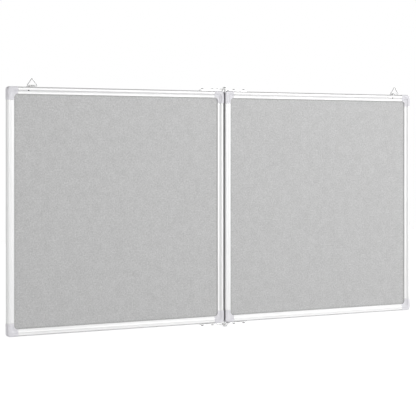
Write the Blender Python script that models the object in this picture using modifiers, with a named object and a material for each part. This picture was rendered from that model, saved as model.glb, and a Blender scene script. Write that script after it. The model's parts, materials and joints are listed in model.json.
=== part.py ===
"""Foldable magnetic whiteboard: two framed square panels, hinged side by side.

Each panel is a light core board between a grey zinc-coated steel sheet and a
white writing sheet, held in four hollow aluminium rails with moulded corner
caps. Cranked hinges on the top and bottom edges share one vertical fold axis,
and a triangular wire ring swings in a strap on each top rail.

Metres, +Z up. Board places are counted from the fold's middle (x), the
corner caps' grey-side faces (y) and the bottom edge (z). The finished board
hangs from the origin, which is the inside of the left ring's peak.
"""
import math

import bmesh
import bpy
from mathutils import Matrix, Vector

# Panels
PANEL_WIDTH = 0.6000
PANEL_HEIGHT = 0.6000
PANEL_THICKNESS = 0.0170
PANEL_GAP = 0.0034          # between the open panels
FOLD_CLEARANCE = 0.0005     # between the grey sides when folded

# Clearances
SEAT_GAP = 0.0003           # between faces that seat on each other
OVERRUN = 0.0020            # how far cutters run past what they cut
WELD = 0.00001

# Frame section, by distance from the panel's edge
CAP_PROUD = 0.0003          # how far the caps stand outside the rails
EDGE_RADIUS = 0.0030
CREST_WIDTH = 0.0080
CREST_STEP = 0.0005
COVE_WIDTH = 0.0050
LIP_WIDTH = 0.0050
LIP_STEP = 0.0004
LIP_DROP = 0.0027
LIP_THICKNESS = 0.0012
LIP_NOSE = 0.0004
RAIL_WALL = 0.0013
BOARD_BITE = 0.0050         # how far the board's edge lies under the lips

# Board
SHEET_THICKNESS = 0.00035

# Corner caps
CORNER_RADIUS = 0.0080
INNER_FILLET = 0.0085
STRAIGHT_ACROSS = 0.0005    # of a cap's leg, past its inner fillet
STRAIGHT_DOWN = 0.0050
SPIGOT_LENGTH = 0.0180
SPIGOT_ROOT = 0.0040

# Hinges
LEAF_WIDTH = 0.0120
LEAF_THICKNESS = 0.0022
LEAF_CORNER = 0.0030
CRANK_START = 0.0160
JOGGLE_RUN = 0.0040
EYE_RADIUS = 0.0080
PIN_RADIUS = 0.0025
PIN_DOME_RADIUS = 0.0062
PIN_DOME_HEIGHT = 0.0034
PIN_TAIL_RADIUS = 0.0032
PIN_TAIL_HEIGHT = 0.0026
FRICTION_WASHER_RADIUS = 0.0065
FRICTION_WASHER_THICKNESS = 0.0005
SPRING_WASHER_RADIUS = 0.0050
SPRING_WASHER_THICKNESS = 0.0006
LEAF_END = 0.0080           # past the outer screw
OUTER_SCREW_REACH = 0.0153  # past the end of the cap's spigot
SCREW_HEAD_RADIUS = 0.0038
SCREW_HEAD_HEIGHT = 0.0026
SCREW_RADIUS = 0.00175
SCREW_LENGTH = 0.0118
SCREW_POINT = 0.0020

# Hangers
LEFT_LOCK_PLACE = 0.0548    # from the panel's outer edge
RIGHT_LOCK_PLACE = 0.0597
LOCK_OFFSET = 0.0012        # from the crest's step
LOCK_RADIUS = 0.0015
LOCK_SUNK = 0.0002          # how far the screw lies under the cove's surface
LOCK_SOCKET_RADIUS = 0.0008
LOCK_SOCKET_DEPTH = 0.0009
LOCK_POINT_RADIUS = 0.0008
LOCK_GRIP = 0.0006          # how far the point runs on past the tongue
RING_OFFSET = 0.0115        # from the lock screw to the ring's middle
RING_WIDTH = 0.0250         # sizes of the ring's wire centreline
RING_HEIGHT = 0.0175
RING_CORNER = 0.0015
RING_PEAK_CORNER = 0.0016
WIRE_RADIUS = 0.0010
STRAP_THICKNESS = 0.0008
STRAP_START = 0.0145        # left of the ring's middle
STRAP_END = 0.0065          # right of the ring's middle
STRAP_FRONT = 0.0045        # in front of the ring's wire
STRAP_TAIL = 0.0045         # behind the ring's wire
CURL_RELIEF = 0.0005        # notch between the strap's tail and its curl
TONGUE_WIDTH = 0.0060
TONGUE_EDGE = 0.0016        # past the lock screw
TONGUE_BEND = 0.0012
CURL_TURN = math.radians(285)

# Counts and shares
EDGE_STEPS = 3
COVE_STEPS = 3
CORNER_STEPS = 10
RING_STEPS = 5
WIRE_STEPS = 2
CURL_STEPS = 14
EYE_STEPS = 20
HOLE_SIDES = 16
TURN_STEPS = 20
SMOOTH_ANGLE = math.radians(35)
QUARTER_TURN = math.radians(90)
HALF_TURN = math.radians(180)
TAIL_TAPER_SHARE = 0.85
HEAD_STEPS = 4

# Worked out from the sizes above
MID_DEPTH = PANEL_THICKNESS / 2
RAIL_FACE = CREST_WIDTH + COVE_WIDTH + LIP_WIDTH
LEG_ACROSS = RAIL_FACE + INNER_FILLET + STRAIGHT_ACROSS
LEG_DOWN = RAIL_FACE + INNER_FILLET + STRAIGHT_DOWN
BOARD_INSET = RAIL_FACE - BOARD_BITE
SLOT_FLOOR = BOARD_INSET - SEAT_GAP
SLOT_START = CAP_PROUD + LIP_DROP + LIP_THICKNESS
CHAMBER_END = SLOT_FLOOR - RAIL_WALL
PANEL_MIDDLE = (PANEL_GAP + PANEL_WIDTH) / 2
PIVOT_DEPTH = -FOLD_CLEARANCE / 2
HOLE_RADIUS = SCREW_RADIUS + SEAT_GAP
PIN_BORE = PIN_RADIUS + SEAT_GAP
RAIL_START = PANEL_GAP / 2 + LEG_ACROSS + SEAT_GAP
INNER_SCREW_PLACE = RAIL_START + RAIL_WALL + HOLE_RADIUS
OUTER_SCREW_PLACE = PANEL_GAP / 2 + LEG_ACROSS + SPIGOT_LENGTH + OUTER_SCREW_REACH
LEAF_REACH = OUTER_SCREW_PLACE + LEAF_END

# Heights of the hinge stack above the panel's edge
LOW_LEAF = SEAT_GAP
FRICTION_WASHER_LEVEL = LOW_LEAF + LEAF_THICKNESS + SEAT_GAP
HIGH_LEAF = FRICTION_WASHER_LEVEL + FRICTION_WASHER_THICKNESS + SEAT_GAP
SPRING_WASHER_LEVEL = HIGH_LEAF + LEAF_THICKNESS + SEAT_GAP
DOME_LEVEL = SPRING_WASHER_LEVEL + SPRING_WASHER_THICKNESS + SEAT_GAP
SCREW_HEAD_LEVEL = LOW_LEAF + LEAF_THICKNESS + SEAT_GAP

# Heights of the hanger above the board's bottom edge
RAIL_TOP = PANEL_HEIGHT - CAP_PROUD
STRAP_TOP = RAIL_TOP + SEAT_GAP + STRAP_THICKNESS
CURL_RADIUS = WIRE_RADIUS + SEAT_GAP
WIRE_LEVEL = STRAP_TOP + CURL_RADIUS
LOCK_DROP = CREST_WIDTH + LOCK_OFFSET
TONGUE_LENGTH = STRAP_TOP - PANEL_HEIGHT + LOCK_DROP + TONGUE_EDGE

# Places of the lock screws and rings along the board
LOCK_X = {
    "left": LEFT_LOCK_PLACE - PANEL_WIDTH - PANEL_GAP / 2,
    "right": PANEL_WIDTH + PANEL_GAP / 2 - RIGHT_LOCK_PLACE,
}
SIDE_SIGN = {"left": -1, "right": 1}
LEVEL_SIGN = {"bottom": -1, "top": 1}
EDGE_HEIGHT = {"bottom": 0, "top": PANEL_HEIGHT}

# Colour, roughness and metallic value of each material
FINISHES = {
    "aluminium": ((0.86, 0.86, 0.86, 1), 0.32, 0.9),
    "cap plastic": ((0.68, 0.67, 0.71, 1), 0.45, 0.0),
    "zinc sheet": ((0.50, 0.50, 0.50, 1), 0.60, 0.3),
    "core board": ((0.72, 0.62, 0.48, 1), 0.90, 0.0),
    "writing enamel": ((0.90, 0.90, 0.90, 1), 0.12, 0.0),
    "bright steel": ((0.80, 0.80, 0.80, 1), 0.25, 1.0),
    "dark steel": ((0.10, 0.10, 0.10, 1), 0.40, 1.0),
    "nylon": ((0.85, 0.85, 0.82, 1), 0.50, 0.0),
}


def clear_scene():
    """Remove every object of the open scene."""
    for thing in list(bpy.data.objects):
        bpy.data.objects.remove(thing, do_unlink=True)


def new_collection(name):
    collection = bpy.data.collections.new(name)
    bpy.context.scene.collection.children.link(collection)
    return collection


def new_material(name):
    """A Principled material with one of the board's finishes."""
    colour, roughness, metallic = FINISHES[name]
    material = bpy.data.materials.new(name)
    material.use_nodes = True
    shader = material.node_tree.nodes["Principled BSDF"]
    shader.inputs["Base Color"].default_value = colour
    shader.inputs["Roughness"].default_value = roughness
    shader.inputs["Metallic"].default_value = metallic
    material.diffuse_color = colour
    return material


class Workshop:
    """The board's collections and empties, and how pieces are put on them."""

    def __init__(self):
        self.pieces = new_collection("foldable_whiteboard")
        self.cutters = new_collection("cutters")
        self.root = self.empty("board", -hook_point(), None)
        self.panels = {
            "left": self.empty("left_panel", (0, 0, 0), self.root),
            "right": self.empty("right_panel", (0, PIVOT_DEPTH, 0), self.root),
        }

    def empty(self, name, place, parent):
        holder = bpy.data.objects.new(name, None)
        holder.location = place
        holder.parent = parent
        self.pieces.objects.link(holder)
        return holder

    def add(self, name, data, panel, place=(0, 0, 0), turn=(0, 0, 0)):
        """Put a piece in the scene at a board place, carried by a panel."""
        piece = bpy.data.objects.new(name, data)
        piece.location = place
        piece.rotation_euler = turn
        holder = self.panels[panel]
        piece.parent = holder
        piece.matrix_parent_inverse = Matrix.Translation(-holder.location)
        self.pieces.objects.link(piece)
        return piece

    def finish(self, piece, finish, smooth=True):
        """Give a piece its own material and smooth its round faces."""
        piece.data.materials.clear()
        piece.data.materials.append(new_material(finish))
        if smooth:
            piece.data.shade_smooth()
            piece.data.set_sharp_from_angle(angle=SMOOTH_ANGLE)

    def cutter(self, name, mesh, place=(0, 0, 0), turn=(0, 0, 0)):
        """Put a tool for Boolean modifiers at a board place."""
        tool = bpy.data.objects.new(name, mesh)
        tool.location = place
        tool.rotation_euler = turn
        tool.parent = self.root
        tool.hide_render = True
        tool.display_type = "WIRE"
        self.cutters.objects.link(tool)
        return tool


def boolean(piece, tool, operation):
    """Add an exact Boolean to a piece: DIFFERENCE cuts, UNION joins."""
    modifier = piece.modifiers.new(tool.name, "BOOLEAN")
    modifier.operation = operation
    modifier.solver = "EXACT"
    modifier.object = tool


def box_mesh(name, low, high):
    """A box between two corners."""
    low = Vector(low)
    high = Vector(high)
    shape = bmesh.new()
    bmesh.ops.create_cube(shape, size=1)
    bmesh.ops.scale(shape, vec=high - low, verts=shape.verts)
    bmesh.ops.translate(shape, vec=(low + high) / 2, verts=shape.verts)
    return to_mesh(shape, name)


def rod_mesh(name, radius, length):
    """A cylinder along Z, centred on the origin."""
    shape = bmesh.new()
    bmesh.ops.create_cone(shape, cap_ends=True, segments=HOLE_SIDES, radius1=radius, radius2=radius,
                          depth=length)
    return to_mesh(shape, name)


def to_mesh(shape, name):
    """Write a bmesh to new mesh data, with its faces pointing out."""
    bmesh.ops.recalc_face_normals(shape, faces=shape.faces)
    mesh = bpy.data.meshes.new(name)
    shape.to_mesh(mesh)
    shape.free()
    return mesh


def outline_curve(name, outlines, half_depth):
    """A filled 2D curve; outlines inside the first one are holes."""
    curve = bpy.data.curves.new(name, "CURVE")
    curve.dimensions = "2D"
    curve.fill_mode = "BOTH"
    curve.extrude = half_depth
    for outline in outlines:
        spline = curve.splines.new("POLY")
        spline.points.add(len(outline) - 1)
        for point, (across, up) in zip(spline.points, outline):
            point.co = (across, up, 0, 1)
        spline.use_cyclic_u = True
    return curve


def curve_mesh(name, curve):
    """The mesh of a curve, with its caps welded on."""
    holder = bpy.data.objects.new(name, curve)
    bpy.context.scene.collection.objects.link(holder)
    evaluated = holder.evaluated_get(bpy.context.evaluated_depsgraph_get())
    mesh = bpy.data.meshes.new_from_object(evaluated)
    bpy.data.objects.remove(holder, do_unlink=True)
    bpy.data.curves.remove(curve)
    shape = bmesh.new()
    shape.from_mesh(mesh)
    bpy.data.meshes.remove(mesh)
    bmesh.ops.remove_doubles(shape, verts=shape.verts, dist=WELD)
    return to_mesh(shape, name)


def arc(centre, radius, start, end, steps):
    """Points along an arc, both ends included."""
    points = []
    for step in range(steps + 1):
        angle = start + (end - start) * step / steps
        points.append((centre[0] + radius * math.cos(angle), centre[1] + radius * math.sin(angle)))
    return points


def circle(centre, radius, sides=HOLE_SIDES):
    return arc(centre, radius, 0, 2 * math.pi * (sides - 1) / sides, sides - 1)


def turned_mesh(name, profile):
    """The half outline of a turned piece, down its outer side."""
    mesh = bpy.data.meshes.new(name)
    points = [(radius, 0, height) for radius, height in profile]
    edges = [(index, index + 1) for index in range(len(points) - 1)]
    mesh.from_pydata(points, edges, [])
    return mesh


def add_turning(piece, steps=TURN_STEPS):
    """Turn a piece's half outline about its own Z axis."""
    modifier = piece.modifiers.new("turning", "SCREW")
    modifier.axis = "Z"
    modifier.steps = steps
    modifier.render_steps = steps
    modifier.use_merge_vertices = True
    modifier.merge_threshold = WELD
    modifier.use_smooth_shade = True


# The frame section


def cove_depth(distance, inset):
    """Depth of the cove's surface at a distance from the panel's edge."""
    start = inset + CREST_STEP
    drop = LIP_DROP - LIP_STEP - CREST_STEP
    share = (distance - CREST_WIDTH) / COVE_WIDTH
    return start + drop * (2 * share - share * share)


def front_profile(inset):
    """Grey-side half of the section, from the edge to the lip's nose."""
    corner = inset + EDGE_RADIUS
    points = arc((corner, corner), EDGE_RADIUS, math.pi, 1.5 * math.pi, EDGE_STEPS)
    points.append((CREST_WIDTH, inset))
    for step in range(COVE_STEPS + 1):
        distance = CREST_WIDTH + COVE_WIDTH * step / COVE_STEPS
        points.append((distance, cove_depth(distance, inset)))
    lip = inset + LIP_DROP
    points.append((CREST_WIDTH + COVE_WIDTH, lip))
    points.append((RAIL_FACE - LIP_NOSE, lip))
    points.append((RAIL_FACE, lip + LIP_NOSE))
    return points


def closed_profile(half):
    """A half section and its mirror image about the middle depth."""
    mirrored = [(distance, PANEL_THICKNESS - depth) for distance, depth in reversed(half)]
    return half + mirrored


def rail_outline():
    half = front_profile(CAP_PROUD)
    half.append((RAIL_FACE, SLOT_START))
    half.append((SLOT_FLOOR, SLOT_START))
    return closed_profile(half)


def chamber_outline(inset=0):
    """The rail's hollow, drawn in by a clearance for the caps' spigots."""
    corner = CAP_PROUD + EDGE_RADIUS
    radius = EDGE_RADIUS - RAIL_WALL - inset
    half = arc((corner, corner), radius, math.pi, 1.5 * math.pi, EDGE_STEPS)
    half.append((CREST_WIDTH - RAIL_WALL, corner - radius))
    half.append((CHAMBER_END - inset, cove_depth(CHAMBER_END, CAP_PROUD) + RAIL_WALL + inset))
    return closed_profile(half)


def rail_mesh(name, length):
    """A rail along Z, its section's distances running along X."""
    return curve_mesh(name, outline_curve(name, [rail_outline(), chamber_outline()], length / 2))


# Corner caps


def corner_path(distance):
    """Where one line of the section runs round the corner: straight, arc, straight.

    Gives places across and down from the panel's top left corner.
    """
    radius = CORNER_RADIUS + (INNER_FILLET - CORNER_RADIUS) * distance / RAIL_FACE
    centre = distance + radius
    bend = arc((centre, centre), radius, 1.5 * math.pi, math.pi, CORNER_STEPS)
    return [(LEG_ACROSS, distance)] + bend + [(distance, LEG_DOWN)]


def cap_shell_mesh(name):
    """The cap's solid body, lofted along the corner from one leg to the other."""
    section = closed_profile(front_profile(0))
    shape = bmesh.new()
    lines = []
    for distance, depth in section:
        lines.append([shape.verts.new((across, depth, -down)) for across, down in corner_path(distance)])
    for index, line in enumerate(lines):
        following = lines[(index + 1) % len(lines)]
        for step in range(len(line) - 1):
            shape.faces.new((line[step], line[step + 1], following[step + 1], following[step]))
    shape.faces.new([line[0] for line in lines])
    shape.faces.new([line[-1] for line in lines])
    return to_mesh(shape, name)


def spigot_mesh(name, leg):
    """A spigot along Z, standing on the end of the cap's leg."""
    length = SPIGOT_ROOT + SPIGOT_LENGTH
    mesh = curve_mesh(name, outline_curve(name, [chamber_outline(SEAT_GAP)], length / 2))
    mesh.transform(Matrix.Translation((0, 0, leg - SPIGOT_ROOT + length / 2)))
    return mesh


def corner_cap_mesh(shop):
    """The top left corner cap: body, slot for the board's corner and two spigots."""
    body = shop.cutter("cap_body", cap_shell_mesh("cap_body"))
    slot = box_mesh("corner_slot", (SLOT_FLOOR, SLOT_START, -LEG_DOWN - OVERRUN),
                    (LEG_ACROSS + OVERRUN, PANEL_THICKNESS - SLOT_START, -SLOT_FLOOR))
    tools = [
        shop.cutter("corner_slot", slot),
        shop.cutter("spigot_across", spigot_mesh("spigot_across", LEG_ACROSS), turn=(0, QUARTER_TURN, 0)),
        shop.cutter("spigot_down", spigot_mesh("spigot_down", LEG_DOWN), (0, PANEL_THICKNESS, 0),
                    (HALF_TURN, 0, 0)),
    ]
    for tool, operation in zip(tools, ("DIFFERENCE", "UNION", "UNION")):
        boolean(body, tool, operation)
    evaluated = body.evaluated_get(bpy.context.evaluated_depsgraph_get())
    mesh = bpy.data.meshes.new_from_object(evaluated)
    mesh.name = "corner_cap"
    for tool in [body] + tools:
        bpy.data.objects.remove(tool, do_unlink=True)
    return mesh


# Panels


def panel_edges(side):
    """The x places of a panel's left and right edges."""
    inner = SIDE_SIGN[side] * PANEL_GAP / 2
    outer = SIDE_SIGN[side] * (PANEL_GAP / 2 + PANEL_WIDTH)
    return min(inner, outer), max(inner, outer)


def add_frame(shop, side, cap_mesh):
    """Rails, stiles and corner caps of one panel; gives them by name."""
    left, right = panel_edges(side)
    middle = SIDE_SIGN[side] * PANEL_MIDDLE
    across = PANEL_WIDTH - 2 * (LEG_ACROSS + SEAT_GAP)
    upright = PANEL_HEIGHT - 2 * (LEG_DOWN + SEAT_GAP)
    left_name, right_name = ("outer", "inner") if side == "left" else ("inner", "outer")
    rails = [
        ("top_rail", across, (middle, 0, PANEL_HEIGHT), QUARTER_TURN),
        ("bottom_rail", across, (middle, 0, 0), -QUARTER_TURN),
        (left_name + "_stile", upright, (left, 0, PANEL_HEIGHT / 2), 0),
        (right_name + "_stile", upright, (right, 0, PANEL_HEIGHT / 2), HALF_TURN),
    ]
    frame = {}
    for name, length, place, turn in rails:
        mesh = rail_mesh(side + "_" + name, length)
        frame[name] = shop.add(side + "_" + name, mesh, side, place, (0, turn, 0))
        shop.finish(frame[name], "aluminium")
    caps = [
        ("top_" + left_name + "_cap", (left, 0, PANEL_HEIGHT), (0, 0, 0)),
        ("top_" + right_name + "_cap", (right, PANEL_THICKNESS, PANEL_HEIGHT), (0, 0, HALF_TURN)),
        ("bottom_" + right_name + "_cap", (right, 0, 0), (0, HALF_TURN, 0)),
        ("bottom_" + left_name + "_cap", (left, PANEL_THICKNESS, 0), (HALF_TURN, 0, 0)),
    ]
    for name, place, turn in caps:
        frame[name] = shop.add(side + "_" + name, cap_mesh.copy(), side, place, turn)
        shop.finish(frame[name], "cap plastic")
    return frame


def add_board(shop, side):
    """The grey sheet, core board and writing sheet of one panel."""
    left, right = panel_edges(side)
    grey = SLOT_START + SEAT_GAP
    writing = PANEL_THICKNESS - grey
    core_near = grey + SHEET_THICKNESS + SEAT_GAP
    layers = [
        ("grey_sheet", grey, grey + SHEET_THICKNESS, "zinc sheet"),
        ("core", core_near, PANEL_THICKNESS - core_near, "core board"),
        ("writing_sheet", writing - SHEET_THICKNESS, writing, "writing enamel"),
    ]
    for name, near, far, finish in layers:
        low = (left + BOARD_INSET, near, BOARD_INSET)
        high = (right - BOARD_INSET, far, PANEL_HEIGHT - BOARD_INSET)
        layer = shop.add(side + "_" + name, box_mesh(side + "_" + name, low, high), side)
        shop.finish(layer, finish)


# Hinges


def tangent_point(corner, turn):
    """Where a line from a corner of the strip touches the eye's circle."""
    away = Vector(corner) - Vector((0, PIVOT_DEPTH))
    angle = math.atan2(away.y, away.x) + turn * math.acos(EYE_RADIUS / away.length)
    return angle


def leaf_outline():
    """Plan of the left leaf: a straight strip cranked towards the grey side."""
    near = MID_DEPTH - LEAF_WIDTH / 2
    far = MID_DEPTH + LEAF_WIDTH / 2
    end = -LEAF_REACH + LEAF_CORNER
    back = tangent_point((-CRANK_START, far), -1)
    front = tangent_point((-CRANK_START, near), 1)
    points = arc((0, PIVOT_DEPTH), EYE_RADIUS, front - 2 * math.pi, back, EYE_STEPS)
    points.append((-CRANK_START, far))
    points += arc((end, far - LEAF_CORNER), LEAF_CORNER, math.pi / 2, math.pi, EDGE_STEPS)
    points += arc((end, near + LEAF_CORNER), LEAF_CORNER, math.pi, 1.5 * math.pi, EDGE_STEPS)
    points.append((-CRANK_START, near))
    return points


def leaf_holes():
    holes = [circle((0, PIVOT_DEPTH), PIN_BORE)]
    for place in (INNER_SCREW_PLACE, OUTER_SCREW_PLACE):
        holes.append(circle((-place, MID_DEPTH), HOLE_RADIUS))
    return holes


def leaf_mesh(name, side, level, rise):
    """A leaf as an open sheet, on the side next to its rail.

    The left leaf's rise carries its eye over the right leaf's.
    """
    mesh = curve_mesh(name, outline_curve(name, [leaf_outline()] + leaf_holes(), 0))
    shape = bmesh.new()
    shape.from_mesh(mesh)
    bpy.data.meshes.remove(mesh)
    foot = -CRANK_START - JOGGLE_RUN
    if rise:
        for place in (-CRANK_START, foot):
            everything = shape.verts[:] + shape.edges[:] + shape.faces[:]
            bmesh.ops.bisect_plane(shape, geom=everything, plane_co=(place, 0, 0), plane_no=(1, 0, 0),
                                   dist=WELD)
    for vert in shape.verts:
        share = min(max((vert.co.x - foot) / JOGGLE_RUN, 0), 1)
        vert.co.z = LEVEL_SIGN[level] * share * rise
        vert.co.x *= -SIDE_SIGN[side]
    for face in shape.faces:
        face.normal_update()
        if face.normal.z < 0:
            face.normal_flip()
    mesh = bpy.data.meshes.new(name)
    shape.to_mesh(mesh)
    shape.free()
    return mesh


def add_leaf(shop, side, level):
    rise = HIGH_LEAF - LOW_LEAF if side == "left" else 0
    up = LEVEL_SIGN[level]
    name = side + "_" + level + "_hinge_leaf"
    place = (0, 0, EDGE_HEIGHT[level] + up * LOW_LEAF)
    leaf = shop.add(name, leaf_mesh(name, side, level, rise), side, place)
    sheet = leaf.modifiers.new("thickness", "SOLIDIFY")
    sheet.thickness = LEAF_THICKNESS
    sheet.offset = up
    sheet.use_even_offset = True
    shop.finish(leaf, "bright steel", smooth=False)


def screw_profile():
    """Pan head screw, its head's seat at height zero."""
    head = arc((0, 0), 1, math.pi / 2, 0, HEAD_STEPS)
    points = [(across * SCREW_HEAD_RADIUS, up * SCREW_HEAD_HEIGHT) for across, up in head]
    points[0] = (0, SCREW_HEAD_HEIGHT)
    points.append((SCREW_RADIUS, 0))
    points.append((SCREW_RADIUS, SCREW_POINT - SCREW_LENGTH))
    points.append((0, -SCREW_LENGTH))
    return points


def add_hinge_screws(shop, side, level, frame):
    """The leaf's two screws, and their holes.

    Both go through the rail's outer wall, and the inner one also holds the cap's spigot.
    """
    up = LEVEL_SIGN[level]
    turn = (0, 0, 0) if level == "top" else (HALF_TURN, 0, 0)
    wall = (level + "_rail", SCREW_HEAD_LEVEL + CAP_PROUD + 2 * RAIL_WALL)
    spigot = (level + "_inner_cap", SCREW_LENGTH + SEAT_GAP)
    places = [
        ("inner", INNER_SCREW_PLACE, [wall, spigot]),
        ("outer", OUTER_SCREW_PLACE, [wall]),
    ]
    for name, place, targets in places:
        name = side + "_" + level + "_hinge_" + name + "_screw"
        across = SIDE_SIGN[side] * place
        seat = EDGE_HEIGHT[level] + up * SCREW_HEAD_LEVEL
        screw = shop.add(name, turned_mesh(name, screw_profile()), side, (across, MID_DEPTH, seat), turn)
        add_turning(screw)
        shop.finish(screw, "bright steel")
        for target, depth in targets:
            tool = name + "_hole_in_" + target
            hole = shop.cutter(tool, rod_mesh(tool, HOLE_RADIUS, depth),
                               (across, MID_DEPTH, seat - up * depth / 2))
            boolean(frame[target], hole, "DIFFERENCE")


def pin_profile():
    """Domed pin, from its crown down to its riveted tail."""
    dome = arc((0, 0), 1, math.pi / 2, 0, HEAD_STEPS)
    points = [(across * PIN_DOME_RADIUS, DOME_LEVEL + up * PIN_DOME_HEIGHT) for across, up in dome]
    points[0] = (0, DOME_LEVEL + PIN_DOME_HEIGHT)
    tail = LOW_LEAF - SEAT_GAP
    points.append((PIN_RADIUS, DOME_LEVEL))
    points.append((PIN_RADIUS, tail))
    points.append((PIN_TAIL_RADIUS, tail))
    points.append((PIN_TAIL_RADIUS * TAIL_TAPER_SHARE, tail - PIN_TAIL_HEIGHT))
    points.append((0, tail - PIN_TAIL_HEIGHT))
    return points


def washer_profile(radius, level, thickness):
    """Closed outline of a washer that turns about the pin."""
    top = level + thickness
    return [(PIN_BORE, top), (radius, top), (radius, level), (PIN_BORE, level)]


def add_pivot(shop, level):
    """The pin through both leaves' eyes, and its two washers."""
    turn = (0, 0, 0) if level == "top" else (HALF_TURN, 0, 0)
    place = (0, PIVOT_DEPTH, EDGE_HEIGHT[level])
    pin = shop.add(level + "_hinge_pin", turned_mesh("pin", pin_profile()), "left", place, turn)
    add_turning(pin)
    shop.finish(pin, "bright steel")
    washers = [
        ("friction_washer", FRICTION_WASHER_RADIUS, FRICTION_WASHER_LEVEL, FRICTION_WASHER_THICKNESS,
         "nylon"),
        ("spring_washer", SPRING_WASHER_RADIUS, SPRING_WASHER_LEVEL, SPRING_WASHER_THICKNESS,
         "bright steel"),
    ]
    for name, radius, height, thickness, finish in washers:
        mesh = turned_mesh(name, washer_profile(radius, height, thickness))
        close_outline(mesh)
        washer = shop.add(level + "_hinge_" + name, mesh, "left", place, turn)
        add_turning(washer)
        shop.finish(washer, finish)


def close_outline(mesh):
    """Join the last point of an outline to its first."""
    mesh.edges.add(1)
    mesh.edges[-1].vertices = (len(mesh.vertices) - 1, 0)


# Hangers


def hook_point():
    """The inside of the left ring's peak, where a wall hook bears."""
    return Vector((LOCK_X["left"] + RING_OFFSET, MID_DEPTH, WIRE_LEVEL + RING_HEIGHT - WIRE_RADIUS))


def ring_path():
    """Centreline of a triangle with rounded corners, upright on its base."""
    base = Vector((RING_WIDTH / 2 - RING_CORNER, RING_CORNER))
    peak = Vector((0, RING_HEIGHT - RING_PEAK_CORNER))
    side = peak - base
    lean = math.atan2(side.y, side.x) - math.acos((RING_CORNER - RING_PEAK_CORNER) / side.length)
    path = arc(base, RING_CORNER, -QUARTER_TURN, lean, RING_STEPS)
    path += arc(peak, RING_PEAK_CORNER, lean, HALF_TURN - lean, RING_STEPS)
    path += arc((-base.x, base.y), RING_CORNER, HALF_TURN - lean, HALF_TURN + QUARTER_TURN, RING_STEPS)
    return path


def ring_curve(name):
    """A closed loop of round wire in the XZ plane."""
    points = ring_path()
    curve = bpy.data.curves.new(name, "CURVE")
    curve.dimensions = "3D"
    curve.bevel_depth = WIRE_RADIUS
    curve.bevel_resolution = WIRE_STEPS
    spline = curve.splines.new("POLY")
    spline.points.add(len(points) - 1)
    for point, (across, up) in zip(spline.points, points):
        point.co = (across, 0, up, 1)
    spline.use_cyclic_u = True
    return curve


def strap_mesh(name):
    """The strap as an open sheet: tongue, plate and the curl round the wire.

    Places are counted from the ring's middle, on the strap's upper face.
    """
    bend = arc((TONGUE_BEND - STRAP_FRONT, -TONGUE_BEND), TONGUE_BEND, HALF_TURN, QUARTER_TURN, EDGE_STEPS)
    tongue = [(-STRAP_FRONT, -TONGUE_LENGTH)] + bend
    plate = [bend[-1], (0, 0)]
    tail = [(0, 0), (STRAP_TAIL, 0)]
    curl = arc((0, CURL_RADIUS), CURL_RADIUS, -QUARTER_TURN, CURL_TURN - QUARTER_TURN, CURL_STEPS)
    tongue_end = TONGUE_WIDTH - STRAP_START
    curl_start = tongue_end + CURL_RELIEF
    bands = [
        (-STRAP_START, tongue_end, tongue),
        (-STRAP_START, tongue_end, plate),
        (-STRAP_START, tongue_end, tail),
        (tongue_end, curl_start, plate),
        (curl_start, STRAP_END, plate),
        (curl_start, STRAP_END, curl),
    ]
    shape = bmesh.new()
    for left, right, path in bands:
        rows = [(shape.verts.new((left, y, z)), shape.verts.new((right, y, z))) for y, z in path]
        for row, following in zip(rows, rows[1:]):
            shape.faces.new((row[0], row[1], following[1], following[0]))
    bmesh.ops.remove_doubles(shape, verts=shape.verts, dist=WELD)
    mesh = bpy.data.meshes.new(name)
    shape.to_mesh(mesh)
    shape.free()
    return mesh


def lock_profile(length, body):
    """Socket set screw with a thin point, its outer end at height zero."""
    return [
        (0, -LOCK_SOCKET_DEPTH),
        (LOCK_SOCKET_RADIUS, -LOCK_SOCKET_DEPTH),
        (LOCK_SOCKET_RADIUS, 0),
        (LOCK_RADIUS, 0),
        (LOCK_RADIUS, -body),
        (LOCK_POINT_RADIUS, -body),
        (LOCK_POINT_RADIUS, -length),
        (0, -length),
    ]


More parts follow.
